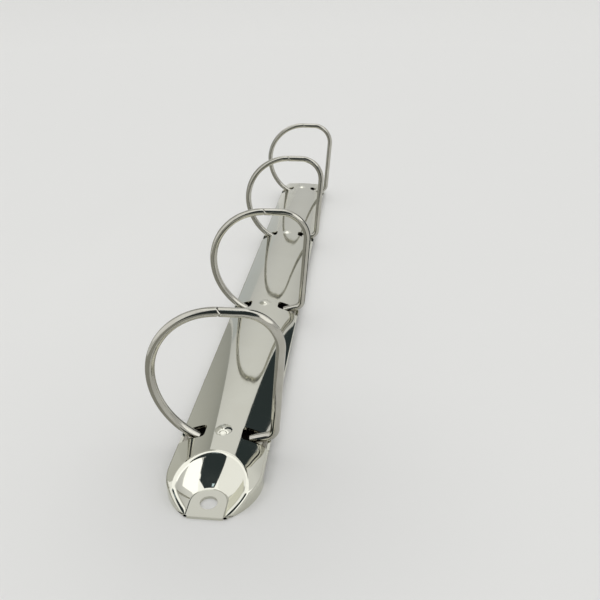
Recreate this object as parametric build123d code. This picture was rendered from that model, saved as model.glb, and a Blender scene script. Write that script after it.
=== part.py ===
import os
from math import asin, cos, degrees, radians, sin, sqrt, tan

from build123d import *

# Ring binder mechanism: a pressed cover plate, two hinge plates that turn in its rolled edges, and a row of
# D-rings, each made of two wire halves riveted to the hinge plates. Shown closed, in millimetres.
# +Y runs along the mechanism and +Z away from the board that it is riveted to. The origin is on the board,
# midway between the two rivet holes.

# Layout along the length
ring_pitch = 80.0  # from ring to ring
rivet_spacing = 282.0  # between the centres of the rivet holes
end_room = 20.0  # least distance from a rivet hole to the nearest ring
tab_reach = 5.0  # from a rivet hole's centre to the front edge of its tab

# Cover plate
cover_width = 26.0
cover_height = 7.75
arch_radius = 23.0  # outside of the arch
cover_sheet = 0.8
lip_length = 1.0  # straight end of the rolled edge, under the hinge plate
tab_width = 8.9  # at its front edge
tab_corner_radius = 0.6
nose_radius = 16.0  # in plan, from the straight side round to the tab
seat_radius = 5.0  # flat round the rivet hole
rivet_hole_radius = 2.3
dish_slope = 45.0  # degrees, the wall between the seat and the arch
rim_radius = 3.0  # outside bend from the arch into the dish
seat_bend_radius = 0.6  # inside bend from the dish wall to the seat
dome_width = 4.0
dome_rise = 0.5
slot_width = 5.4
slot_corner_radius = 1.3
slot_inner_gap = 0.1  # between a ring foot and the inner end of its slot

# Hinge plates
leaf_sheet = 1.0
leaf_end_reach = 6.5  # past the centres of the end rings
pivot_clearance = 0.08  # between the plate's round edge and the rolled edge round it
closed_tilt = 8.0  # degrees, how far a closed plate falls from its pivot to the middle
middle_gap = 0.3  # between the two plates when they lie level
finger_length = 12.0  # along Y
finger_reach = 1.5  # past the plate's own edge
finger_clearance = 0.4

# Ring halves
wire_radius = 1.3
ring_top = 45.15  # wire's centre line above the board
left_reach = 19.4  # wire's centre line from the middle
joint_offset = 0.9  # from the middle to the joint between the halves
corner_reach = 17.35  # top corner of the straight-legged half's centre line, before rounding
corner_radius = 9.7
heel_reach = 14.4  # heel of the straight-legged half, before rounding
heel_height = 6.95
heel_radius = 3.2
foot_reach = 5.0  # from the pivot to the ring foot, along the hinge plate
foot_rise = 0.35  # straight end of the foot above the hinge plate
foot_radius = 1.6
tenon_radius = 0.9
tenon_clearance = 0.03
head_radius = 1.5  # riveted end under the hinge plate
head_height = 0.45
joint_depth = 1.1  # from the tip of the wedge to its shoulders
joint_gap = 0.12

# Cuts
overrun = 1.0  # how far a cutting solid passes the face that it cuts
fill_share = 1.5  # spread of the block that the dishes are pressed in, to the spread of the arch

# Sizes that follow
curl_inner = leaf_sheet / 2 + pivot_clearance
curl_outer = curl_inner + cover_sheet
pivot_x = cover_width / 2 - curl_outer
arch_centre_z = cover_height - arch_radius
pivot_z = arch_centre_z + sqrt((arch_radius - curl_outer) ** 2 - pivot_x**2)
arch_spread = degrees(asin(pivot_x / (arch_radius - curl_outer)))  # from the middle to a rolled edge
cover_length = rivet_spacing + 2 * tab_reach
ring_count = 1 + int((rivet_spacing - 2 * end_room) / ring_pitch)  # as many as fit at their pitch
nose_axis_x = cover_width / 2 - nose_radius
nose_axis_y = cover_length / 2 - sqrt(nose_radius**2 - (tab_width / 2 - nose_axis_x) ** 2)
leaf_width = pivot_x - middle_gap / 2
leaf_length = ring_pitch * (ring_count - 1) + 2 * leaf_end_reach
ring_places = [ring_pitch * (i - (ring_count - 1) / 2) for i in range(ring_count)]
finger_places = [(a + b) / 2 for a, b in zip(ring_places, ring_places[1:])]

# Points of the section on the right-hand side: X across, Y up
pivot = Vector(pivot_x, pivot_z)
inward = Vector(-cos(radians(closed_tilt)), -sin(radians(closed_tilt)))  # along the closed hinge plate
upward = Vector(inward.Y, -inward.X)  # square to it
foot = pivot + inward * foot_reach + upward * (leaf_sheet / 2)
foot_end = foot + upward * foot_rise
foot_centre = foot_end - inward * foot_radius  # centre of the bend above the foot


def bar(outline, start, end):
    # An outline of the section, carried along the length.
    return extrude(Plane((0, end, 0), (1, 0, 0), (0, -1, 0)) * outline, end - start, dir=(0, -1, 0))


def arch_point(radius, angle):
    # A point of the arch, at an angle from its top.
    return Vector(radius * sin(radians(angle)), arch_centre_z + radius * cos(radians(angle)))


def curl_point(radius, angle):
    # A point round the pivot, at an angle from straight up towards the outside.
    return pivot + Vector(radius * sin(radians(angle)), radius * cos(radians(angle)))


def arch_block(radius):
    # A solid arch, wider than the plate, in which the dishes are pressed.
    spread = arch_spread * fill_share
    left = arch_point(radius, -spread)
    right = arch_point(radius, spread)
    centre = Vector(0, arch_centre_z)
    crown = ThreePointArc(left, arch_point(radius, 0), right)
    half_length = cover_length / 2 + overrun
    return bar(make_face([Line(centre, left), crown, Line(right, centre)]), -half_length, half_length)


def dish_space(depth):
    # The space over a seat and its walls, with its faces set out by depth. The bowl is on the +Y side.
    floor = cover_sheet - depth
    top = cover_height + overrun
    floor_half = seat_radius + depth * tan(radians(dish_slope / 2))
    top_half = floor_half + (top - floor) / tan(radians(dish_slope))
    wall = FilletPolyline(
        (0, floor), (floor_half, floor), (top_half, top), (0, top), radius=[seat_bend_radius + depth, 0]
    )
    half_outline = make_face([*wall.edges(), Line((0, top), (0, floor))])
    outline = half_outline + mirror(half_outline, about=Plane.YZ)
    bowl = revolve(Plane.XZ * half_outline, Axis.Z, 180)
    return bowl + bar(outline, -tab_reach - 2 * overrun, 0)


def dished_block(depth):
    # The arch with a dish pressed in at each end and a dome at each ring, all faces set in by depth.
    block = arch_block(arch_radius - depth)
    dish = Pos(0, -rivet_spacing / 2, 0) * dish_space(depth)
    block -= [Rot(0, 0, turn) * dish for turn in (0, 180)]
    crown = block.faces().filter_by(GeomType.CYLINDER).sort_by(SortBy.AREA)[-1]
    side = arch_point(arch_radius, arch_spread).X
    end = cover_length / 2
    rims = crown.edges().filter_by_position(Axis.X, -side, side).filter_by_position(Axis.Y, -end, end)
    block = fillet(rims, rim_radius - depth)
    dome_radius = (dome_width**2 / 4 + dome_rise**2) / (2 * dome_rise)
    dome_z = cover_height + dome_rise - dome_radius
    return block + [Pos(0, y, dome_z) * Sphere(dome_radius - depth) for y in ring_places]


def skirt(depth):
    # Section from the arch over the rolled edge's shoulder and straight down to the board, faces set in by depth.
    start = arch_point(arch_radius - depth, arch_spread)
    middle = curl_point(curl_outer - depth, (arch_spread + 90) / 2)
    side = curl_point(curl_outer - depth, 90)
    top = arch_point(arch_radius - depth, 0)
    crown = ThreePointArc(top, arch_point(arch_radius - depth, arch_spread / 2), start)
    shoulder = ThreePointArc(start, middle, side)
    below = [Vector(side.X, -overrun), Vector(nose_axis_x, -overrun), Vector(nose_axis_x, top.Y)]
    return make_face([crown, shoulder, *Polyline(side, *below, top).edges()])


def nose_side(depth):
    # Right-hand half of the end beyond the straight sides: the skirt turned about an upright axis.
    section = Plane((0, nose_axis_y, 0), (1, 0, 0), (0, -1, 0)) * skirt(depth)
    turned = revolve(section, Axis((nose_axis_x, nose_axis_y, 0), (0, 0, 1)))
    quarter = Pos(0, nose_axis_y, 0) * Box(
        cover_width, cover_length, 2 * cover_height, align=(Align.MIN, Align.MIN, Align.CENTER)
    )
    return turned & quarter


def rolled_edge():
    # The sheet rolled round the hinge plate's edge, with a straight lip under the closed plate.
    start = arch_spread
    end = 180 - closed_tilt
    middle = (start + end) / 2
    lip = inward * lip_length
    outside = [curl_point(curl_outer, angle) for angle in (start, middle, end)]
    inside = [curl_point(curl_inner, angle) for angle in (end, middle, start)]
    edges = [
        ThreePointArc(*outside),
        Polyline(outside[-1], outside[-1] + lip, inside[0] + lip, inside[0]),
        ThreePointArc(*inside),
        Line(inside[-1], outside[0]),
    ]
    return bar(make_face(edges), -nose_axis_y, nose_axis_y)


def ring_slot():
    # The slot for a right-hand foot, from its inner end out over the shoulder to the rolled edge.
    inner_x = foot.X - wire_radius - slot_inner_gap
    outer_x = cover_width / 2 + overrun
    depth = cover_height + overrun - pivot_z
    outline = Pos((inner_x + outer_x) / 2, 0) * Rectangle(outer_x - inner_x, slot_width)
    outline = fillet(outline.vertices().group_by(Axis.X)[0], slot_corner_radius)
    return Pos(0, 0, pivot_z) * extrude(outline, depth, dir=(0, 0, 1))


def cover_plate():
    top = (arch_radius + dome_rise + overrun) / cos(radians(arch_spread))
    wedge = Polygon(
        (0, arch_centre_z), arch_point(top, -arch_spread), arch_point(top, arch_spread), align=None
    )
    outer = dished_block(0)
    inner = dished_block(cover_sheet)
    edge = rolled_edge()
    plate = ((outer - inner) & bar(wedge, -nose_axis_y, nose_axis_y)) + edge + Rot(0, 0, 180) * edge
    end = (outer & nose_side(0)) - (inner & nose_side(cover_sheet))
    end &= extrude(Rectangle(2 * cover_width, cover_length), cover_height, dir=(0, 0, 1))
    end += mirror(end, about=Plane.YZ)
    corners = end.edges().filter_by(Axis.Z).group_by(Axis.Y)[-1]
    end = fillet(corners, tab_corner_radius)
    plate += [Rot(0, 0, turn) * end for turn in (0, 180)]
    hole = Cylinder(rivet_hole_radius, 2 * (cover_sheet + overrun))
    plate -= [Pos(0, y, 0) * hole for y in (-rivet_spacing / 2, rivet_spacing / 2)]
    slot = ring_slot()
    plate -= [Pos(0, y, 0) * Rot(0, 0, turn) * slot for y in ring_places for turn in (0, 180)]
    return plate


def blade(reach):
    # Section of a hinge plate from its round pivot edge to a round inner edge.
    half = leaf_sheet / 2
    inner = pivot + inward * (reach - half)
    edges = [
        ThreePointArc(pivot + upward * half, pivot - inward * half, pivot - upward * half),
        Line(pivot - upward * half, inner - upward * half),
        ThreePointArc(inner - upward * half, inner + inward * half, inner + upward * half),
        Line(inner + upward * half, pivot + upward * half),
    ]
    return make_face(edges)


def right_hinge_plate():
    # A strip with fingers along its inner edge, and notches that take the other plate's fingers.
    leaf = bar(blade(leaf_width), -leaf_length / 2, leaf_length / 2)
    step = finger_clearance / 2
    depth = leaf_sheet / 2 + overrun
    notch_start = pivot + inward * (leaf_width - finger_reach - finger_clearance)
    notch_end = pivot + inward * (leaf_width + overrun)
    sides = [notch_start + upward * depth, notch_end + upward * depth]
    sides += [notch_end - upward * depth, notch_start - upward * depth]
    for y in finger_places:
        notch = bar(Polygon(*sides, align=None), y - step - finger_length - finger_clearance, y + step)
        leaf += bar(blade(leaf_width + finger_reach), y + step, y + step + finger_length)
        leaf -= notch
    across = Plane((foot.X, 0, foot.Y), (0, 1, 0), (upward.X, 0, upward.Y))
    hole = across * Cylinder(tenon_radius + tenon_clearance, 2 * (leaf_sheet + overrun))
    return leaf - [Pos(0, y, 0) * hole for y in ring_places]


def foot_rivet():
    # The wire's reduced end through the hinge plate, and its spread head below.
    top = Plane((foot.X, 0, foot.Y), (0, 1, 0), (-upward.X, 0, -upward.Y))
    tenon = top * extrude(Circle(tenon_radius), leaf_sheet)
    head_align = (Align.CENTER, Align.CENTER, Align.MIN)
    head = top * Pos(0, 0, leaf_sheet) * Cone(head_radius, tenon_radius, head_height, align=head_align)
    return tenon + head


def wire(edges):
    # Round wire along a path of the section, with its riveted foot.
    path = Wire([Plane.XZ * edge for edge in edges])
    start = Plane(path @ 0, z_dir=path % 0)
    return sweep(start * Circle(wire_radius), path=path) + foot_rivet()


def seam(tip_x, side):
    # The space past a ring's joint: a V with its point at tip_x, opening towards -X or +X as side says.
    height = wire_radius + overrun
    mouth_x = tip_x + side * joint_depth * height / wire_radius
    far_x = min(mouth_x, tip_x) - overrun
    points = [(mouth_x, ring_top - height), (tip_x, ring_top), (mouth_x, ring_top + height)]
    points += [(far_x, ring_top + height), (far_x, ring_top - height)]
    return bar(Polygon(*points, align=None), -height, height)


def straight_ring_half():
    # Right-hand half: along the top, round a corner, down a leaning leg, round the heel and into the foot.
    heel = Vector(heel_reach, heel_height)
    span = foot_centre - heel
    swing = degrees(asin(foot_radius / span.length))
    reach = sqrt(span.length**2 - foot_radius**2)
    touch = heel + span.normalized().rotate(Axis.Z, -swing) * reach
    corner = Vector(corner_reach, ring_top)
    tip = Vector(joint_offset - joint_depth / 2, ring_top)
    edges = [Line(foot, foot_end), TangentArc(foot_end, touch, tangent=upward)]
    edges += FilletPolyline(touch, heel, corner, tip, radius=[heel_radius, corner_radius]).edges()
    return wire(edges) - seam(joint_offset + (joint_depth + joint_gap) / 2, -1)


def round_ring_half():
    # Left-hand half, drawn on the right: two arcs from the foot to the waist and from there to the joint.
    upper_radius = left_reach + joint_offset
    waist = Vector(left_reach, ring_top - upper_radius)
    across = waist.X - foot_centre.X
    down = waist.Y - foot_centre.Y
    lower_radius = (across**2 + down**2 - foot_radius**2) / (2 * (across + foot_radius))
    lower_centre = waist - Vector(lower_radius, 0)
    touch = foot_centre + (lower_centre - foot_centre).normalized() * foot_radius
    joint = Vector(-joint_offset, ring_top)
    tip = joint - Vector(joint_depth / 2, 0)
    bend = TangentArc(foot_end, touch, tangent=upward)
    lower = TangentArc(touch, waist, tangent=bend % 1)
    upper = TangentArc(waist, joint, tangent=(0, 1))
    half = wire([Line(foot, foot_end), bend, lower, upper, Line(joint, tip)])
    return half - seam(-joint_offset - (joint_depth - joint_gap) / 2, 1)


parts = {"cover_plate": cover_plate()}
parts["right_hinge_plate"] = right_hinge_plate()
parts["left_hinge_plate"] = Rot(0, 0, 180) * parts["right_hinge_plate"]
right_half = straight_ring_half()
left_half = Rot(0, 0, 180) * round_ring_half()
for number, y in enumerate(ring_places, start=1):
    parts[f"right_ring_{number}"] = Pos(0, y, 0) * right_half
    parts[f"left_ring_{number}"] = Pos(0, y, 0) * left_half

os.makedirs("parts", exist_ok=True)
for name, shape in parts.items():
    export_step(shape, os.path.join("parts", name + ".step"))
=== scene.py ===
import math

import bpy
import numpy as np
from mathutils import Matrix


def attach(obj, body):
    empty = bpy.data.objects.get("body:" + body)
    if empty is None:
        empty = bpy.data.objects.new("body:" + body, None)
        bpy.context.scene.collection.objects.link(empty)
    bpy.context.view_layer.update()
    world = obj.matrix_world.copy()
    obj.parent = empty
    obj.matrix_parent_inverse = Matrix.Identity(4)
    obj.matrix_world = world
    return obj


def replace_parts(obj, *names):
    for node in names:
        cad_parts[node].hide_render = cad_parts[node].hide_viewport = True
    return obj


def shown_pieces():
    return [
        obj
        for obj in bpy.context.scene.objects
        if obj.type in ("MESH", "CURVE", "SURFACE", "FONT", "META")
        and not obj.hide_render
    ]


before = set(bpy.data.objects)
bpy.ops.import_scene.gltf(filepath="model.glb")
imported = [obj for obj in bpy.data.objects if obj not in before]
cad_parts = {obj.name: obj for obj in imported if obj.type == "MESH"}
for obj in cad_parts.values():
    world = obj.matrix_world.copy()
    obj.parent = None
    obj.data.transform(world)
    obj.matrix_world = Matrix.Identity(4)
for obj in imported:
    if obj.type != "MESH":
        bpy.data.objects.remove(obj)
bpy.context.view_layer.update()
scene = bpy.context.scene
mm = 0.001
tiny = 1e-9  # keeps a division away from zero
cellMiddle = 0.5  # from a line of a grid to the middle of its cell
up = np.array([0.0, 0.0, 1.0])
halfRound = np.array([-1.0, -1.0, 1.0])  # half a turn about the upright axis


def linear(hexColour):
    # sRGB hex to linear light by the sRGB curve, with full alpha
    part = np.array([int(hexColour[i:i + 2], 16) for i in (1, 3, 5)]) / 255
    value = np.where(part <= 0.04045, part / 12.92, ((part + 0.055) / 1.055) ** 2.4)
    return (*value.tolist(), 1.0)


def feed(tree, node, **links):
    # links sockets to inputs of a node: Base_Color is its input Base Color, and in0 its first input
    for name, socket in links.items():
        number = name.removeprefix("in")
        target = int(number) if number.isdigit() else name.replace("_", " ")
        tree.links.new(socket, node.inputs[target])


def addNode(tree, kind, settings=None, **links):
    # one node: settings are its properties or input values, links its incoming sockets by name
    node = tree.nodes.new("ShaderNode" + kind)
    for key, value in (settings or {}).items():
        if isinstance(key, int) or key in node.inputs:
            node.inputs[key].default_value = value
        else:
            setattr(node, key, value)
    feed(tree, node, **links)
    return node


def unit(v):
    # vectors divided by their length
    return v / np.linalg.norm(v, axis=-1, keepdims=True)


def vector(*parts):
    # arrays or numbers as the parts of vectors, along a last axis
    return np.stack(np.broadcast_arrays(*parts), -1)


def shareOf(value, start, end):
    # how far a value has come from start to end, from 0 to 1
    return np.clip((value - start) / (end - start), 0, 1)


def newPiece(name, points, faces, cornerNormals=None):
    # points in mm to a mesh object in metres, with exact normals at the face corners where given
    mesh = bpy.data.meshes.new(name)
    mesh.from_pydata((np.asarray(points) * mm).tolist(), [], faces, shade_flat=False)
    mesh.update()
    if cornerNormals is not None:
        mesh.normals_split_custom_set(cornerNormals.tolist())
    piece = bpy.data.objects.new(name, mesh)
    scene.collection.objects.link(piece)
    return piece


# Cover plate, the pressed sheet: sizes in mm and angles in degrees. The hollow wall of the dish, its bend
# and rim, and the domes are shaped more finely than on the solid.
cover = dict(
    width=26.0, height=7.75, archRadius=23.0, sheet=0.8, lip=1.0, tilt=8.0, curlInner=0.58,
    rivetSpacing=282.0, tabReach=5.0, tabWidth=8.9, tabCorner=0.6, noseRadius=16.0, lipGap=0.05,
    seatFlat=4.55, holeRadius=2.3, seatBend=1.2, wallFoot=33.0, wallRadius=19.7,
    backRim=1.8, sideRim=1.25, rimShare=0.45, rimRoom=0.02, rimInside=0.05,
    domeReach=2.35, domeRise=0.9, domePower=1.25,
    slotEnd=5.199, slotWidth=5.4, slotCorner=1.3, patchReach=15.0, ringPlaces=(-120.0, -40.0),
)
# Lines of its grid, counted outwards from the rivet hole and across from the middle. Round the hole a
# direction is an angle in radians from the side, and below zero it runs out along the straight channel,
# channelUnit mm for one.
grid = dict(
    hole=6, seat=9, bend=13, wall=21, rim=33, arch=40, shoulder=6, curl=14, lip=2, leg=12,
    slotEnd=15, slotAxis=21, slotHalf=6, ease=12, lipEnd=12, rowLength=4.0, lastRows=10,
    channelUnit=10.0, cornerShare=0.6, rimTurns=(0.2, 1.2), shyTurn=0.001, halvings=45,
)

curlOuter = cover["curlInner"] + cover["sheet"]
pivotX = cover["width"] / 2 - curlOuter  # axis of the rolled edge, in which a hinge plate turns
archZ = cover["height"] - cover["archRadius"]
pivotReach = cover["archRadius"] - curlOuter
pivotZ = archZ + math.sqrt(pivotReach**2 - pivotX**2)
archSpread = math.asin(pivotX / pivotReach)  # where the arch passes into the rolled edge
tilt = math.radians(cover["tilt"])
turns = grid["curl"] + grid["lip"]
lastColumn = grid["arch"] + turns
shoulderColumn = grid["arch"] + grid["shoulder"]
holeY = cover["rivetSpacing"] / 2
slotPitch = cover["slotWidth"] / 2 / grid["slotHalf"]
noseX = cover["width"] / 2 - cover["noseRadius"]  # axis of the round nose, seen from the rivet hole
noseY = math.sqrt(cover["noseRadius"] ** 2 - (cover["tabWidth"] / 2 - noseX) ** 2) - cover["tabReach"]
wallFoot = math.radians(cover["wallFoot"])
wallExtra = cover["wallRadius"] - cover["seatBend"]
wallOut = cover["seatFlat"] - wallExtra * math.sin(wallFoot)  # centre of the hollow wall's arc
wallUp = cover["sheet"] + cover["seatBend"] + wallExtra * math.cos(wallFoot)
bendEnd = cover["seatFlat"] + cover["seatBend"] * math.sin(wallFoot)  # where bend and wall meet
legEnd = math.sqrt(cover["noseRadius"] ** 2 - (bendEnd - noseX) ** 2) - noseY  # and run out at the nose


def columnAngles():
    # Angles of the columns over the arch, from the middle to the rolled edge, with the slot's end on a
    # column.
    half = cover["slotWidth"] / 2
    edgeX = cover["archRadius"] * math.sin(archSpread)
    marks = (0, grid["slotEnd"] - grid["slotHalf"], grid["slotEnd"], grid["slotAxis"], grid["arch"])
    places = (0, cover["slotEnd"] - half, cover["slotEnd"], cover["slotEnd"] + half, edgeX)
    return np.arcsin(np.interp(np.arange(grid["arch"] + 1), marks, places) / cover["archRadius"])


def sectionPlace(column, upright, depth):
    # The plate's section by column: a circle over the arch, a small one round the pivot, and then either on
    # round it to a straight lip or, where upright, straight down to the board. Gives across, height and the
    # normal's two parts.
    archTurn = np.interp(column, np.arange(grid["arch"] + 1), columnAngles())
    step = column - grid["arch"]
    rolled = np.interp(step, (0, grid["shoulder"], grid["curl"]), (archSpread, np.pi / 2, np.pi - tilt))
    rolled = np.where(upright, np.minimum(rolled, np.pi / 2), rolled)
    slide = np.where(upright, 0, cover["lip"] * shareOf(step, grid["curl"], turns))
    drop = np.where(upright, pivotZ * shareOf(step, grid["shoulder"], turns), 0)
    onArch = column <= grid["arch"]
    turn = np.where(onArch, archTurn, rolled)
    radius = np.where(onArch, cover["archRadius"], curlOuter) - depth
    across = np.where(onArch, 0, pivotX - slide * math.cos(tilt)) + radius * np.sin(turn)
    height = np.where(onArch, archZ, pivotZ - slide * math.sin(tilt) - drop) + radius * np.cos(turn)
    return across, height, np.sin(turn), np.cos(turn)


def edgePlace(column, along, upright, depth):
    # The section carried along the plate's outline, y counted inwards from the rivet hole: straight where
    # along is below zero, and past that round the nose's axis.
    across, height, normalX, normalZ = sectionPlace(column, upright, depth)
    turn = np.maximum(along, 0) / cover["noseRadius"]
    reach = across - noseX
    x = noseX + reach * np.cos(turn)
    y = noseY - reach * np.sin(turn) - np.minimum(along, 0)
    return vector(x, y, height), vector(normalX * np.cos(turn), -normalX * np.sin(turn), normalZ)


def archPlace(angle, y, depth):
    # A point of the arch at an angle from its top, raised by a dome at each ring, then set in by depth. The
    # dome is one less the square of the distance, to a power.
    radius, reach = cover["archRadius"], cover["domeReach"]
    high, power = cover["domeRise"], cover["domePower"]
    rise, slopeX, slopeY = np.zeros((3, *angle.shape))
    for ringY in cover["ringPlaces"]:
        across, along = radius * angle / reach, (y - ringY) / reach
        left = np.clip(1 - across**2 - along**2, 0, 1)
        rise += high * left**power
        fall = -2 * power * high / reach * left ** (power - 1)
        slopeX += fall * across
        slopeY += fall * along
    out = vector(np.sin(angle), 0, np.cos(angle))
    side = vector(np.cos(angle), 0, -np.sin(angle))
    normal = unit(out - slopeX[..., None] * side - vector(0, slopeY, 0))
    point = out * (radius + rise)[..., None] + vector(0, y, archZ)
    return point - depth * normal, normal


def channelY(direction):
    # How far a direction runs out along the straight channel: its part below zero, in mm.
    return grid["channelUnit"] * np.minimum(direction, 0)


def rimRadius(direction):
    # Full round the back of the dish, tighter at its sides, and shrinking to nothing at the tab.
    edge = noseX + np.sqrt(cover["noseRadius"] ** 2 - (noseY - channelY(direction)) ** 2)
    room = cover["rimShare"] * np.maximum(edge - bendEnd, cover["rimRoom"])
    wide = np.interp(direction, grid["rimTurns"], (cover["sideRim"], cover["backRim"]))
    return np.minimum(wide, room)


def rollRim(direction, depth):
    # The ball that rolls between the dish's wall and the outside: halving finds the column at which it
    # touches the outside. Gives its centre, the wall's slope and the outside's normal where it touches, its
    # radius, that column and the place along.
    turn = np.clip(direction, 0, np.pi / 2 - grid["shyTurn"])
    out = vector(np.cos(turn), np.sin(turn), 0)
    legY = channelY(direction)
    inset = np.maximum(rimRadius(direction), depth + cover["rimInside"])

    def centreAt(column):
        # a ball that touches the outside at this column: how far out its centre is, its height, the normal
        # there
        across, height, normalX, normalZ = sectionPlace(column, True, inset)
        straight = across / np.cos(turn)
        cosine = noseX * np.cos(turn) + (noseY - legY) * np.sin(turn)
        away = noseX**2 + (noseY - legY) ** 2
        bent = cosine + np.sqrt(np.maximum(cosine**2 - away + (across - noseX) ** 2, 0))
        far = np.where(straight * np.sin(turn) + legY >= noseY, straight, bent)
        return far, height, normalX, normalZ

    low, high = np.zeros_like(turn), np.full_like(turn, float(lastColumn))
    for _ in range(grid["halvings"]):
        column = (low + high) / 2
        far, height, normalX, normalZ = centreAt(column)
        short = np.hypot(far - wallOut, height - wallUp) < cover["wallRadius"] + inset
        low, high = np.where(short, column, low), np.where(short, high, column)
    ball = out * far[..., None] + vector(0, legY, height)
    over = ball[..., 1] >= noseY
    turned = np.arctan2(noseY - ball[..., 1], ball[..., 0] - noseX)
    along = np.where(over, noseY - ball[..., 1], cover["noseRadius"] * turned)
    heading = np.where(over, 0, turned)
    outside = vector(normalX * np.cos(heading), -normalX * np.sin(heading), normalZ)
    return ball, np.arctan2(far - wallOut, wallUp - height), outside, inset - depth, column, along


def dishPlace(line, direction, depth):
    # The dish, line by line outwards: the seat bends up into a hollow wall, an arc that steepens outwards,
    # and the rim rolls over from it to the outside.
    ball, wallTop, outside, radius, _column, _along = rollRim(direction, depth)
    turn = np.maximum(direction, 0.0)
    out = vector(np.cos(turn), np.sin(turn), 0)
    leg = vector(0, channelY(direction), 0)
    bend = (wallFoot * shareOf(line, grid["seat"], grid["bend"]))[..., None]
    bendNormal = np.cos(bend) * up - np.sin(bend) * out
    bendCentre = out * cover["seatFlat"] + up * (cover["sheet"] + cover["seatBend"])
    bent = bendCentre - (cover["seatBend"] + depth) * bendNormal + leg
    steep = (wallFoot + (wallTop - wallFoot) * shareOf(line, grid["bend"], grid["wall"]))[..., None]
    wallNormal = np.cos(steep) * up - np.sin(steep) * out
    walled = out * wallOut + up * wallUp - (cover["wallRadius"] + depth) * wallNormal + leg
    between = np.arccos(np.clip((wallNormal * outside).sum(-1), -1, 1))
    part = shareOf(line, grid["wall"], grid["rim"]) * between
    rolled = np.sin(between - part)[..., None] * wallNormal + np.sin(part)[..., None] * outside
    rolled = rolled / np.sin(between)[..., None]
    onRim = (line > grid["wall"])[..., None]
    onWall = (line > grid["bend"])[..., None]
    point = np.where(onRim, ball + radius[..., None] * rolled, np.where(onWall, walled, bent))
    return point, np.where(onRim, rolled, np.where(onWall, wallNormal, bendNormal))


def frontLimit(x):
    # How far out from the rivet hole the tab reaches: its front edge, a round corner, then the nose.
    slant = math.atan2(noseY + cover["tabReach"], cover["tabWidth"] / 2 - noseX)
    corner = cover["tabCorner"]
    centreX = cover["tabWidth"] / 2 + corner * (math.sin(slant) - 1) / math.cos(slant)
    across = np.clip(x - centreX, 0, corner)
    bow = cover["tabReach"] - corner + np.sqrt(corner**2 - across**2)
    nose = np.sqrt(cover["noseRadius"] ** 2 - (x - noseX) ** 2) - noseY
    beyond = np.where(x > centreX + corner * math.cos(slant), nose, bow)
    return np.where(x < centreX, cover["tabReach"], beyond)


def seatPlace(a, b, depth):
    # The flat seat, by columns and rows from the hole: circles round the hole eased into the seat's outline,
    # which is a half circle and two straight sides that end at the tab's front edge.
    seat, hole, leg, wide = grid["seat"], grid["hole"], grid["leg"], cover["seatFlat"]
    sizeA, sizeB = np.maximum(np.abs(a), tiny), np.maximum(np.abs(b), tiny)
    size = np.maximum(sizeA, sizeB)
    steeper = np.sign(b) * (np.pi / 2 - np.pi / 4 * sizeA / sizeB)
    turn = np.where(sizeA >= sizeB, np.pi / 4 * b / sizeA, steeper)
    circle = vector(np.where(a < 0, -1.0, 1.0) * np.cos(turn), np.sin(turn))
    share = shareOf(size, hole, seat)[..., None]
    straight = vector(wide * a / size, np.minimum(b * seat / size, 0) / leg * legEnd)
    outline = np.where((b >= 0)[..., None], circle * wide, straight)
    inner = circle * (cover["holeRadius"] * np.minimum(size / hole, 1))[..., None]
    place = inner * (1 - share) + outline * share
    column = wide * np.clip(a / seat, -1, 1)
    start = -seat / leg * legEnd
    front = vector(column, start - (frontLimit(np.abs(column)) + start) * (-b - seat) / (leg - seat))
    place = np.where((b < -seat)[..., None], front, place)
    flat = vector(place[..., 0], place[..., 1], cover["sheet"] - depth)
    return flat, np.broadcast_to(up, flat.shape)


def wholeWidth(point, normal, edge, edgeNormal):
    # The right half with its edge joined on, and its mirror image on the left, with the middle column kept
    # once.
    flip = np.array([-1.0, 1.0, 1.0])
    halves = np.concatenate([point, edge], 1), np.concatenate([normal, edgeNormal], 1)
    return [np.concatenate([half[:, :0:-1] * flip, half], 1) for half in halves]


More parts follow.
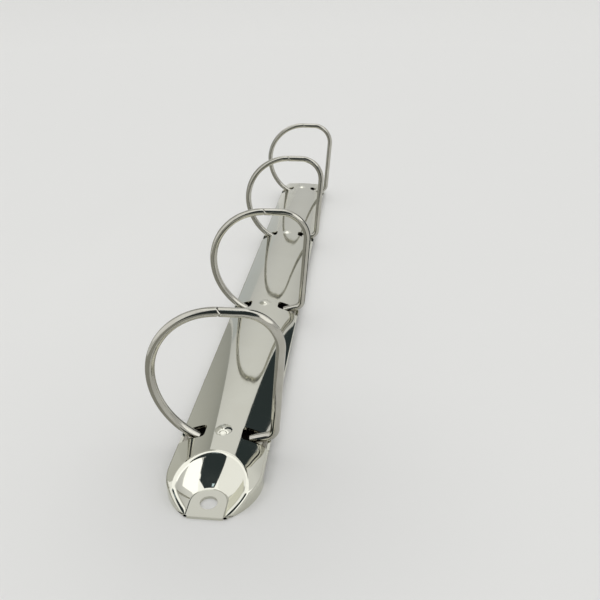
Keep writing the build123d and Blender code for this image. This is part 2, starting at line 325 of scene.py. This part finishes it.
def endPatch(depth):
    # The end of the plate as one grid, with a and b counting columns and rows from the rivet hole: lines
    # round the seat out to the rim, and outside it a blend from the rim to straight rows inwards, and to the
    # plate's outline at the sides.
    top, leg, rim, lipEnd = grid["arch"], grid["leg"], grid["rim"], grid["lipEnd"]
    rows = np.arange(-leg, top + 1.0)
    a, b = np.meshgrid(np.arange(0, top + 1.0), rows)
    line = np.maximum(a, b)
    onTop = b >= a
    safe = np.maximum(line, tiny)
    gone = np.where(onTop, 0, (line - b) / (line + leg))
    outlet = -legEnd / grid["channelUnit"]
    beside = np.interp(gone, (0, grid["cornerShare"], 1), (np.pi / 4, 0, outlet))
    direction = np.where(onTop, np.pi / 2 - np.pi / 4 * a / safe, beside)
    point, normal = dishPlace(line, direction, depth)
    seatPoint, seatNormal = seatPlace(a, b, depth)
    onSeat = (line <= grid["seat"])[..., None]
    point, normal = np.where(onSeat, seatPoint, point), np.where(onSeat, seatNormal, normal)
    # outside the rim
    _ball, _wall, _outside, _radius, touch, touchAlong = rollRim(direction, depth)
    marks = (0, lipEnd, lipEnd + 1, top + leg)
    lastAlong = cover["noseRadius"] * math.asin((noseY + legEnd) / cover["noseRadius"])
    alongMarks = (noseY - cover["patchReach"], -cover["lipGap"], 0, lastAlong)
    edgeColumn = top + np.maximum(touch - (top - 1), 0) * turns / (turns + 1)
    edgeAlong = np.where(onTop, alongMarks[0], np.interp(gone * (top + leg), marks, alongMarks))
    share = shareOf(line, rim, top)
    column = touch * (1 - share) + np.where(onTop, a * top / safe, edgeColumn) * share
    along = touchAlong * (1 - share) + edgeAlong * share
    sidePoint, sideNormal = edgePlace(column, along, True, depth)
    outer = (line > rim)[..., None]
    point, normal = np.where(outer, sidePoint, point), np.where(outer, sideNormal, normal)
    # the shoulder, and below it the lip or the upright nose
    step, row = np.meshgrid(np.arange(1.0, turns + 1), rows)
    edge = np.broadcast_to(column[:, -1:], step.shape)
    along = np.interp(top - row, marks, alongMarks)
    below = edge + (lastColumn - edge) * step / turns
    right, rightNormal = edgePlace(below, along, top - row > lipEnd, depth)
    point, normal = wholeWidth(point, normal, right, rightNormal)
    point[..., 2] = np.maximum(point[..., 2], 0)
    return point - np.array([0, holeY, 0]), normal


def bodyRows():
    # Row places from the end patch to the middle, close together at the rings, with each row's step from
    # its ring.
    ease, last = grid["ease"], grid["lastRows"]
    start = cover["patchReach"] - holeY
    rows, steps = [], []
    for ringY in cover["ringPlaces"]:
        near = ringY - ease * slotPitch
        count = max(2, int((near - start) / grid["rowLength"]))
        rows += [np.linspace(start, near, count, endpoint=False), ringY + slotPitch * np.arange(-ease, ease)]
        steps += [np.full(count, np.inf), np.arange(-ease, ease)]
        start = ringY + ease * slotPitch
    rows.append(np.linspace(start, 0, last))
    steps.append(np.array([ease] + [np.inf] * (last - 1)))
    return np.concatenate(rows)[1:], np.concatenate(steps)[1:]


def bodyPatch(depth):
    # The plate between its ends: the arch and rolled edges along straight rows. Round the inner end of a
    # slot, square rings of the grid have their corners rounded, less and less outwards.
    y, step = bodyRows()
    angle, rowY = np.meshgrid(columnAngles(), y)
    fromAxis, fromRing = np.meshgrid(grid["slotAxis"] - np.arange(0, grid["arch"] + 1.0), step)
    size = np.maximum(fromAxis, np.abs(fromRing))
    near = (fromAxis >= 0) & (size <= grid["ease"]) & (size > 0)
    fromRing = np.where(near, fromRing, 0)
    corner = np.where(near, cover["slotCorner"] * shareOf(size, grid["ease"], grid["slotHalf"]), 0)
    square = vector(fromAxis, fromRing) * slotPitch
    box = np.where(near, size * slotPitch, 0)[..., None] - corner[..., None]
    inside = np.clip(square, -box, box)
    rest = square - inside
    long = np.maximum(np.linalg.norm(rest, axis=-1), tiny)
    rounded = inside + rest * np.where(long > tiny, corner / long, 0)[..., None]
    axisX = cover["slotEnd"] + cover["slotWidth"] / 2
    x = np.where(near, axisX - rounded[..., 0], cover["archRadius"] * np.sin(angle))
    rowY = np.where(near, rowY - fromRing * slotPitch + rounded[..., 1], rowY)
    point, normal = archPlace(np.arcsin(x / cover["archRadius"]), rowY, depth)
    column, curlY = np.meshgrid(np.arange(grid["arch"] + 1.0, lastColumn + 1), y + holeY)
    right, rightNormal = edgePlace(column, noseY - curlY, False, depth)
    right[..., 1] -= holeY
    return wholeWidth(point, normal, right, rightNormal)


def coverGrid(depth):
    # Points and normals of the whole plate, set in by depth. The far half is the near half turned half
    # round, so that its rows and columns both run backwards.
    nearHalf = [np.concatenate(pair) for pair in zip(endPatch(depth), bodyPatch(depth))]
    return [np.concatenate([half, half[-2::-1, ::-1] * halfRound]) for half in nearHalf]


def coverKeep():
    # Which cells of the grid are sheet, and which are cut out: rivet holes, slots down to the pivot's
    # height, and the hairline between the end of the rolled edge and the upright nose.
    side = np.abs(np.arange(-lastColumn, lastColumn) + cellMiddle)[None]
    _y, step = bodyRows()
    patchRows = (np.arange(-grid["leg"], grid["arch"]) + cellMiddle)[:, None]
    hole = (side < grid["hole"]) & (np.abs(patchRows) < grid["hole"])
    relief = (side > shoulderColumn) & (np.floor(grid["arch"] - patchRows) == grid["lipEnd"])
    before = np.concatenate([[np.inf], step[:-1]])
    between = np.where(np.isfinite(before) & np.isfinite(step), np.abs(before + step) / 2, np.inf)[:, None]
    slot = (between < grid["slotHalf"]) & (side > grid["slotEnd"]) & (side < shoulderColumn)
    keep = ~np.concatenate([hole | relief, slot])
    return np.concatenate([keep, keep[::-1, ::-1]])


def sheetPiece(name, outer, outerNormal, inner, innerNormal, keep):
    # Two grids, an outer and an inner one, joined round every edge of what is kept by a strip as wide as
    # the sheet.
    count = outer.shape[0] * outer.shape[1]
    index = np.arange(count).reshape(outer.shape[:2])
    cells = np.stack([index[:-1, :-1], index[:-1, 1:], index[1:, 1:], index[1:, :-1]], -1)[keep]
    padded = np.pad(keep, 1)
    below, above = padded[:-1, 1:-1], padded[1:, 1:-1]  # cells before and after each row line
    left, right = padded[1:-1, :-1], padded[1:-1, 1:]  # and each column line
    edge = np.concatenate([
        np.stack([index[:, :-1], index[:, 1:]], -1)[above & ~below],
        np.stack([index[:, 1:], index[:, :-1]], -1)[below & ~above],
        np.stack([index[1:], index[:-1]], -1)[right & ~left],
        np.stack([index[:-1], index[1:]], -1)[left & ~right],
    ])
    strip = np.stack([edge[:, 1], edge[:, 0], edge[:, 0] + count, edge[:, 1] + count], -1)
    faces = np.concatenate([cells, cells[:, ::-1] + count, strip])
    points = np.concatenate([outer.reshape(-1, 3), inner.reshape(-1, 3)])
    normals = np.concatenate([outerNormal.reshape(-1, 3), -innerNormal.reshape(-1, 3)])
    corner = normals[faces]
    flat = np.cross(points[strip[:, 2]] - points[strip[:, 0]], points[strip[:, 3]] - points[strip[:, 1]])
    corner[-len(strip):] = unit(flat)[:, None]
    used = np.unique(faces)
    order = np.full(len(points), -1)
    order[used] = np.arange(len(used))
    return newPiece(name, points[used], order[faces].tolist(), corner.reshape(-1, 3))


coverPiece = sheetPiece("coverSheet", *coverGrid(0.0), *coverGrid(cover["sheet"]), coverKeep())
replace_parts(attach(coverPiece, "cover"), "cover_plate")
print("cover sheet:", len(coverPiece.data.polygons), "faces")

# Ring halves, drawn wire bent to shape: sizes in mm, and the angle of a sharp edge in degrees. The small
# bevel at the joint is here only, and not on the solids.
ring = dict(
    wireRadius=1.3, top=45.15, leftReach=19.4, jointOffset=0.9, cornerReach=17.35, cornerRadius=9.7,
    heelReach=14.4, heelHeight=6.95, heelRadius=3.2, footReach=5.0, footRise=0.35, footRadius=1.6,
    tenonRadius=0.9, headRadius=1.5, headHeight=0.45, jointDepth=1.1, jointGap=0.12, leafSheet=1.0,
    places=(-120.0, -40.0, 40.0, 120.0), sides=40, edgeEase=0.08, sharp=32.0,
    jointBevel=0.24, bevelShare=0.88, capShares=(1.0, 0.94, 0.88, 0.6, 0.3),
    arcStep=0.05, bendStep=0.15, footLines=2, legLines=8,
)
inward = np.array([-math.cos(tilt), -math.sin(tilt)])
upward = np.array([-math.sin(tilt), math.cos(tilt)])
foot = np.array([pivotX, pivotZ]) + inward * ring["footReach"] + upward * ring["leafSheet"] / 2
footEnd = foot + upward * ring["footRise"]
footCentre = footEnd - inward * ring["footRadius"]
wireTurn = np.linspace(0, 2 * np.pi, ring["sides"], endpoint=False)


def arcRun(centre, radius, start, end, step=ring["arcStep"]):
    # Points and headings along an arc, from one angle to another in radians, the end left for the next run.
    count = max(3, int(abs(end - start) / step))
    turn = np.linspace(start, end, count, endpoint=False)
    points = np.asarray(centre) + radius * vector(np.cos(turn), np.sin(turn))
    return points, np.sign(end - start) * vector(-np.sin(turn), np.cos(turn))


def lineRun(start, end, count=ring["legLines"]):
    # Points and headings along a straight run, the end left for the next run.
    share = np.linspace(0, 1, count, endpoint=False)[:, None]
    points = start + (end - start) * share
    return points, np.broadcast_to(unit(end - start), points.shape)


def angleOf(v):
    # the angle of a flat vector, in radians from the first axis
    return math.atan2(v[1], v[0])


def footRuns(touch):
    # Up out of the hinge plate, then round the small bend to where the next run touches it.
    start, end = angleOf(footEnd - footCentre), angleOf(touch - footCentre)
    bend = arcRun(footCentre, ring["footRadius"], start, end, ring["bendStep"])
    return [lineRun(foot, footEnd, ring["footLines"]), bend]


def straightRoute():
    # Right-hand half: out of the foot, along the tangent of the small bend to the heel, up the leaning leg,
    # and round the corner.
    heel = np.array([ring["heelReach"], ring["heelHeight"]])
    corner = np.array([ring["cornerReach"], ring["top"]])
    end = np.array([ring["jointOffset"] + ring["jointDepth"], ring["top"]])
    span = footCentre - heel
    far = np.linalg.norm(span)
    swing = angleOf(span) - math.asin(ring["footRadius"] / far)
    touch = heel + math.sqrt(far**2 - ring["footRadius"] ** 2) * np.array([math.cos(swing), math.sin(swing)])
    runs = footRuns(touch)
    before = touch
    for point, after, radius in ((heel, corner, ring["heelRadius"]), (corner, end, ring["cornerRadius"])):
        into, out = unit(point - before), unit(after - point)
        bend = math.acos(float(np.clip(into @ out, -1, 1)))
        cut = radius * math.tan(bend / 2)
        near = point - into * cut
        centre = near + np.array([-into[1], into[0]]) * radius
        start = angleOf(near - centre)
        runs += [lineRun(before, near), arcRun(centre, radius, start, start + bend)]
        before = point + out * cut
    return runs + [lineRun(before, end)]


def roundRoute():
    # Left-hand half, drawn on the right: out of the foot, then two arcs that meet at the waist, the lower
    # one tangent to the small bend.
    small = ring["footRadius"]
    upper = ring["leftReach"] + ring["jointOffset"]
    waist = np.array([ring["leftReach"], ring["top"] - upper])
    across, down = waist - footCentre
    lower = (across**2 + down**2 - small**2) / (2 * (across + small))
    lowerCentre = waist - np.array([lower, 0])
    touch = footCentre + unit(lowerCentre - footCentre) * small
    upperCentre = waist - np.array([upper, 0])
    lowerArc = arcRun(lowerCentre, lower, angleOf(touch - lowerCentre), 0.0)
    return footRuns(touch) + [lowerArc, arcRun(upperCentre, upper, 0.0, math.pi / 2)]


def wireRings(runs, tipX, tipWay):
    # A circle carried along the route. It starts in the riveted foot, whose radius steps with the depth
    # below the hinge plate. It ends in a V across the wire: rings that shrink to the middle, where the
    # height above the middle gives how far each point reaches. Gives the rings, their lengths along the
    # wire and the two end points.
    radius, ease = ring["wireRadius"], ring["edgeEase"]
    sheet, head, tenon = ring["leafSheet"], ring["headHeight"], ring["tenonRadius"]
    below = np.array([sheet + head, sheet + head - ease, sheet, sheet, 0.0, 0.0])
    wide = np.array([tenon - ease, tenon, ring["headRadius"], tenon, tenon, radius])
    footPath = foot - below[:, None] * upward
    path = np.concatenate([footPath] + [run[0] for run in runs])
    heading = np.concatenate([np.broadcast_to(upward, footPath.shape)] + [run[1] for run in runs])
    path, heading = np.delete(path, len(below), 0), np.delete(heading, len(below), 0)
    wide = np.concatenate([wide, np.full(len(path) - len(wide), radius)])[:, None]
    side = vector(-heading[:, 1], heading[:, 0])
    middle = path[:, None] + (wide * np.cos(wireTurn))[..., None] * side[:, None]
    tube = vector(middle[..., 0], wide * np.sin(wireTurn), middle[..., 1])
    share = np.array(ring["capShares"])[:, None]
    z = -share * radius * np.cos(wireTurn)
    bevel = ring["jointBevel"] * shareOf(share, ring["bevelShare"], 1)
    reach = tipX + tipWay * ring["jointDepth"] * np.abs(z) / radius + bevel
    cap = vector(reach, share * radius * np.sin(wireTurn), ring["top"] + z)
    gone = np.concatenate([[0], np.cumsum(np.linalg.norm(np.diff(path, axis=0), axis=-1))])
    gone = np.concatenate([gone, np.full(len(cap), gone[-1])])
    poles = np.array([[path[0, 0], 0.0, path[0, 1]], [tipX, 0.0, ring["top"]]])
    return np.concatenate([tube, cap]), gone, poles


def wirePiece(name, runs, tipX, tipWay, turned, y):
    # The rings joined by quads, with a fan at each end, turned half round for the left side and moved along
    # to y. The attribute says where each point lies on the drawn wire, in mm: along it, and its two places
    # across.
    rings, gone, poles = wireRings(runs, tipX, tipWay)
    count, sides = rings.shape[:2]
    index = np.arange(count * sides).reshape(count, sides)
    after = np.roll(index, -1, 1)
    quads = np.stack([index[:-1], after[:-1], after[1:], index[1:]], -1).reshape(-1, 4)
    firstFan = vector(after[0], index[0], count * sides)
    lastFan = vector(index[-1], after[-1], count * sides + 1)
    points = np.concatenate([rings.reshape(-1, 3), poles])
    if turned:
        points = points * halfRound
    faces = quads.tolist() + firstFan.tolist() + lastFan.tolist()
    piece = newPiece(name, points + np.array([0, y, 0]), faces)
    piece.data.set_sharp_from_angle(angle=math.radians(ring["sharp"]))
    radius = ring["wireRadius"]
    drawn = vector(gone[:, None], radius * np.cos(wireTurn), radius * np.sin(wireTurn)).reshape(-1, 3)
    drawn = np.concatenate([drawn, [[0, 0, 0], [gone[-1], 0, 0]]]) + np.array([y, 0, 0])
    piece.data.attributes.new("drawn", "FLOAT_VECTOR", "POINT").data.foreach_set("vector", drawn.ravel())
    return piece


notchX = ring["jointOffset"] + (ring["jointDepth"] + ring["jointGap"]) / 2
wedgeX = -ring["jointOffset"] - (ring["jointDepth"] - ring["jointGap"]) / 2
ringPieces = []
for number, y in enumerate(ring["places"], start=1):
    for name, runs, tipX, tipWay, turned, body in (
        ("right", straightRoute(), notchX, -1, False, "right_leaf"),
        ("left", roundRoute(), wedgeX, 1, True, "left_leaf"),
    ):
        piece = wirePiece(f"{name}Wire{number}", runs, tipX, tipWay, turned, y)
        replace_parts(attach(piece, body), f"{name}_ring_{number}")
        ringPieces.append(piece)
print("wire halves:", len(ringPieces), "of", len(ringPieces[0].data.polygons), "faces")

# Camera, as the photograph was taken: metres, degrees, and the lens in mm
view = dict(place=(0.03493, -0.26045, 0.11972), turn=(63.54, 0.0, 5.446), lens=37.96, sensor=36.0, near=0.01)
lens = bpy.data.cameras.new("camera")
lens.lens, lens.sensor_width = view["lens"], view["sensor"]
lens.clip_start = view["near"]
camera = bpy.data.objects.new("camera", lens)
camera.location = view["place"]
camera.rotation_euler = [math.radians(angle) for angle in view["turn"]]
scene.collection.objects.link(camera)
scene.camera = camera

mixA, mixB, mixOut = 6, 7, 2  # the colour sockets of a Mix node


def newLook(name, metallic=1.0):
    # a material with its tree and its shader, bare metal unless told otherwise
    look = bpy.data.materials.new(name)
    look.use_nodes = True
    shader = look.node_tree.nodes["Principled BSDF"]
    shader.inputs["Metallic"].default_value = metallic
    return look, look.node_tree, shader


# Nickel plated over polished steel sheet: a slightly warm mirror. The sheet under it was rolled and
# pressed, so reflections waver a little, and handling leaves a faint haze in patches and hair scratches
# along the plate. Sizes and depths of the patterns in mm, here and below.
plateLook = dict(
    pale="#DADACF", warm="#D2D1C4", mottle=14.0, waver=9.0, waverDepth=0.0035, haze=3.5,
    scratch=0.16, scratchLength=14.0, scratchDepth=0.0004, scratchStrength=0.5,
    clean=0.1, worn=0.45, smooth=0.035, dull=0.09,
)


def polishedNickelPlate(s):
    # roughness from haze times scratches, bump from the waver with the scratches on top
    look, tree, shader = newLook("polished nickel plate")
    place = addNode(tree, "TexCoord").outputs["Object"]
    mottle = addNode(tree, "TexNoise", {"Scale": 1 / (s["mottle"] * mm), "Detail": 3.0}, Vector=place)
    tint = addNode(tree, "Mix", {"data_type": "RGBA", mixA: linear(s["pale"]), mixB: linear(s["warm"])},
                   Factor=mottle.outputs["Fac"])
    haze = addNode(tree, "TexNoise", {"Scale": 1 / (s["haze"] * mm), "Detail": 5.0}, Vector=place)
    long = addNode(tree, "Mapping", {"Scale": (1.0, s["scratch"] / s["scratchLength"], 1.0)}, Vector=place)
    # hair scratches are finer than this on the real plate, and are drawn as coarse as shows
    scratch = addNode(tree, "TexNoise", {"Scale": 1 / (s["scratch"] * mm), "Detail": 2.0},
                      Vector=long.outputs["Vector"])
    wear = addNode(tree, "Math", {"operation": "MULTIPLY"}, in0=haze.outputs["Fac"],
                   in1=scratch.outputs["Fac"])
    rough = addNode(tree, "MapRange", {"From Min": s["clean"], "From Max": s["worn"], "To Min": s["smooth"],
                                       "To Max": s["dull"]}, Value=wear.outputs["Value"])
    waver = addNode(tree, "TexNoise", {"Scale": 1 / (s["waver"] * mm), "Detail": 1.0}, Vector=place)
    bend = addNode(tree, "Bump", {"Distance": s["waverDepth"] * mm, "Strength": 1.0},
                   Height=waver.outputs["Fac"])
    hair = addNode(tree, "Bump", {"Distance": s["scratchDepth"] * mm, "Strength": s["scratchStrength"]},
                   Height=scratch.outputs["Fac"], Normal=bend.outputs["Normal"])
    feed(tree, shader, Base_Color=tint.outputs[mixOut], Roughness=rough.outputs["Result"],
         Normal=hair.outputs["Normal"])
    return look


# Drawn steel wire, bent and then nickel plated: brighter than satin, with die lines that run along the wire
# and break its highlight into streaks.
wireLook = dict(
    pale="#C6C5BC", warm="#ADAAA0", line=0.22, lineLength=9.0, lineDepth=0.0035, lineGrit=0.6, mottle=5.0,
    clean=0.1, worn=0.42, smooth=0.06, dull=0.17,
)


def drawnNickelWire(s):
    # die lines are noise stretched along the wire: roughness from lines times mottle, bump from the lines
    look, tree, shader = newLook("drawn nickel wire")
    place = addNode(tree, "Attribute", {"attribute_name": "drawn"}).outputs["Vector"]
    long = addNode(tree, "Mapping", {"Scale": (1 / s["lineLength"], 1 / s["line"], 1 / s["line"])},
                   Vector=place)
    line = addNode(tree, "TexNoise", {"Scale": 1.0, "Detail": 4.0, "Roughness": s["lineGrit"]},
                   Vector=long.outputs["Vector"])
    mottle = addNode(tree, "TexNoise", {"Scale": 1 / s["mottle"], "Detail": 3.0}, Vector=place)
    wear = addNode(tree, "Math", {"operation": "MULTIPLY"}, in0=line.outputs["Fac"],
                   in1=mottle.outputs["Fac"])
    tint = addNode(tree, "Mix", {"data_type": "RGBA", mixA: linear(s["pale"]), mixB: linear(s["warm"])},
                   Factor=mottle.outputs["Fac"])
    rough = addNode(tree, "MapRange", {"From Min": s["clean"], "From Max": s["worn"], "To Min": s["smooth"],
                                       "To Max": s["dull"]}, Value=wear.outputs["Value"])
    bump = addNode(tree, "Bump", {"Distance": s["lineDepth"] * mm, "Strength": 1.0},
                   Height=line.outputs["Fac"])
    feed(tree, shader, Base_Color=tint.outputs[mixOut], Roughness=rough.outputs["Result"],
         Normal=bump.outputs["Normal"])
    return look


# Cold rolled strip with a thin nickel coat, left unpolished: satin, with rolling lines along the strip.
stripLook = dict(
    pale="#BDBAB0", dark="#A09C90", line=0.3, lineLength=30.0, lineDepth=0.004, mottle=8.0,
    clean=0.3, worn=0.7, smooth=0.26, dull=0.42,
)


def rolledNickelStrip(s):
    # rolling lines are noise stretched along the strip, and give both roughness and bump
    look, tree, shader = newLook("rolled nickel strip")
    place = addNode(tree, "TexCoord").outputs["Object"]
    long = addNode(tree, "Mapping", {"Scale": (1.0, s["line"] / s["lineLength"], 1.0)}, Vector=place)
    line = addNode(tree, "TexNoise", {"Scale": 1 / (s["line"] * mm), "Detail": 4.0},
                   Vector=long.outputs["Vector"])
    mottle = addNode(tree, "TexNoise", {"Scale": 1 / (s["mottle"] * mm), "Detail": 4.0}, Vector=place)
    tint = addNode(tree, "Mix", {"data_type": "RGBA", mixA: linear(s["pale"]), mixB: linear(s["dark"])},
                   Factor=mottle.outputs["Fac"])
    rough = addNode(tree, "MapRange", {"From Min": s["clean"], "From Max": s["worn"], "To Min": s["smooth"],
                                       "To Max": s["dull"]}, Value=line.outputs["Fac"])
    bump = addNode(tree, "Bump", {"Distance": s["lineDepth"] * mm, "Strength": 1.0},
                   Height=line.outputs["Fac"])
    feed(tree, shader, Base_Color=tint.outputs[mixOut], Roughness=rough.outputs["Result"],
         Normal=bump.outputs["Normal"])
    return look


plateNickel, wireNickel = polishedNickelPlate(plateLook), drawnNickelWire(wireLook)
stripNickel = rolledNickelStrip(stripLook)
coverPiece.data.materials.append(plateNickel)
for piece in ringPieces:
    piece.data.materials.append(wireNickel)
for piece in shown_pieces():
    if piece.name.endswith("hinge_plate"):
        piece.data.materials.clear()
        piece.data.materials.append(stripNickel)
print("materials:", plateNickel.name, "/", wireNickel.name, "/", stripNickel.name)

# Floor: sizes in mm, and the wall's lean in degrees
floorLook = dict(
    colour="#DFDFDD", flat=1300.0, flatShares=(0.1, 0.4, 0.7), bend=1100.0, lean=62.0, sides=96, rows=24,
    drop=0.02, rough=0.85, specular=0.2, fleck=1.2, fleckDepth=0.01, fleckStrength=0.3,
)


def paperFloor(s):
    # matt white paper: even, with a faint fibre fleck
    look, tree, shader = newLook("matt paper", metallic=0.0)
    place = addNode(tree, "TexCoord").outputs["Object"]
    fleck = addNode(tree, "TexNoise", {"Scale": 1 / (s["fleck"] * mm), "Detail": 2.0}, Vector=place)
    bump = addNode(tree, "Bump", {"Distance": s["fleckDepth"] * mm, "Strength": s["fleckStrength"]},
                   Height=fleck.outputs["Fac"])
    feed(tree, shader, Normal=bump.outputs["Normal"])
    shader.inputs["Base Color"].default_value = linear(s["colour"])
    shader.inputs["Roughness"].default_value = s["rough"]
    shader.inputs["Specular IOR Level"].default_value = s["specular"]
    return look


def sweepFloor(s):
    # A profile turned about the upright axis: flat, then an arc that rises to a low wall, all on one grid.
    turn = np.linspace(0, 2 * np.pi, s["sides"], endpoint=False)
    rise = np.radians(np.linspace(0, s["lean"], s["rows"]))
    inner = s["flat"] * np.array(s["flatShares"])
    across = np.concatenate([inner, s["flat"] + s["bend"] * np.sin(rise)])[:, None]
    height = np.concatenate([0 * inner, s["bend"] * (1 - np.cos(rise))])[:, None] - s["drop"]
    swept = vector(across * np.cos(turn), across * np.sin(turn), height)
    points = np.concatenate([swept.reshape(-1, 3), [[0, 0, -s["drop"]]]])
    index = np.arange(len(points) - 1).reshape(-1, s["sides"])
    after = np.roll(index, -1, 1)
    walls = np.stack([index[:-1], index[1:], after[1:], after[:-1]], -1).reshape(-1, 4)
    middle = vector(len(points) - 1, index[0], after[0])
    sweep = newPiece("floor", points, walls.tolist() + middle.tolist())
    return sweep


floor = sweepFloor(floorLook)
floor.data.materials.append(paperFloor(floorLook))

# Cards that the metal alone reflects: corners in mm, and level as a share of the floor's white, one unless
# given. With a fade, the shade runs from that at the first and last corners to its own at the other two. A
# card that dims is the other way about: it keeps light off the floor, and the metal doesn't reflect it.
darkCard = "#323A3C"
cards = dict(
    rightFlag=dict(shade=darkCard,
                   corners=[(19.9, -35, 0), (60, -35, 0), (60, -35, 300), (19.9, -35, 300)]),
    leftWall=dict(shade="#C3C3BE", fade="#A2A39F",
                  corners=[(-93, 86, 0), (-102, -28, 0), (-102, -28, 400), (-93, 86, 400)]),
    leftFar=dict(shade="#BCC0C2", fade="#CBCDCD",
                 corners=[(-93, 330, 0), (-93, 90, 0), (-93, 90, 62), (-93, 330, 88)]),
    nearFlag=dict(shade=darkCard,
                  corners=[(-5, -264, 80), (40, -264, 80), (100, -264, 190), (-5, -264, 190)]),
    frontFlag=dict(shade=darkCard,
                   corners=[(-150, -330, 0), (-13, -330, 0), (210, -330, 420), (-160, -330, 420)]),
    rightGlow=dict(shade="#FFFFFF", level=1.6,
                   corners=[(250, -700, 170), (250, -40, 170), (250, -40, 450), (250, -700, 450)]),
    leftLow=dict(shade="#C9C9C4",
                 corners=[(-150, -65, 0), (-150, 70, 0), (-150, 70, 120), (-150, -65, 120)]),
    leftGlow=dict(shade="#FFFFFF", level=1.15,
                  corners=[(-150, -320, 25), (-150, -65, 25), (-150, -65, 300), (-150, -320, 300)]),
    ceiling=dict(shade="#FFFFFF", level=1.35,
                 corners=[(-600, -700, 700), (600, -700, 700), (600, 150, 700), (-600, 150, 700)]),
    topFlag=dict(shade=darkCard,
                 corners=[(-160, -330, 420), (240, -330, 420), (100, -240, 420), (-80, -240, 420)]),
    skyLight=dict(shade="#CFE6F0", level=1.2,
                  corners=[(-115, -330, 412), (-65, -330, 412), (-55, -295, 412), (-95, -295, 412)]),
    # painted shade: a grey card lying on the floor to the left, reflected by the metal in place of the lit
    # floor, so that the wires show that floor as if in shade
    leftFloorShade=dict(shade="#A6A69F",
                   corners=[(-120, -330, 0.1), (-16, -330, 0.1), (-16, 150, 0.1), (-120, 150, 0.1)]),
    dimFlag=dict(shade="#000000", level=0.0, dims=True,
                 corners=[(-20, -156, 70), (16, -156, 70), (16, -120, 70), (-20, -120, 70)]),
)
for name, card in cards.items():
    plane = newPiece(name, card["corners"], [(0, 1, 2, 3)])
    own, faded = linear(card["shade"]), linear(card.get("fade", card["shade"]))
    shade = plane.data.color_attributes.new("shade", "FLOAT_COLOR", "POINT")
    shade.data.foreach_set("color", np.array([faded, own, own, faded]).ravel())
    glow, tree, _shader = newLook(name)
    colour = addNode(tree, "Attribute", {"attribute_name": "shade"}).outputs["Color"]
    shine = addNode(tree, "Emission", {"Strength": card.get("level", 1.0)}, Color=colour)
    feed(tree, tree.nodes["Material Output"], Surface=shine.outputs["Emission"])
    plane.data.materials.append(glow)
    plane.visible_camera = plane.visible_transmission = False
    plane.visible_diffuse = plane.visible_shadow = card.get("dims", False)
    plane.visible_glossy = not plane.visible_shadow

# Light: a room that is dim low down and bright above, and one wide soft lamp overhead, together at a level
# where white paper is white. The lamp's width and turn in degrees.
light = dict(low=0.42, high=0.83, bright=0.6, lamp=0.72, width=66.0, turn=(4.0, -14.0, 0.0))
world = bpy.data.worlds.new("studio")
world.use_nodes = True
tree = world.node_tree
backdrop = tree.nodes["Background"]
heading = addNode(tree, "TexCoord").outputs["Generated"]
rise = addNode(tree, "SeparateXYZ", Vector=heading).outputs["Z"]
level = addNode(tree, "MapRange", {"From Min": 0.0, "From Max": light["bright"], "To Min": light["low"],
                                   "To Max": light["high"]}, Value=rise)
feed(tree, backdrop, Strength=level.outputs["Result"])
backdrop.inputs["Color"].default_value = linear("#FFFFFF")
scene.world = world
lamp = bpy.data.lights.new("overhead", "SUN")
lamp.energy, lamp.angle = light["lamp"], math.radians(light["width"])
overhead = bpy.data.objects.new("overhead", lamp)
overhead.rotation_euler = [math.radians(angle) for angle in light["turn"]]
scene.collection.objects.link(overhead)
scene.view_settings.view_transform = "Standard"
print("stage: floor,", len(cards), "cards and one lamp")
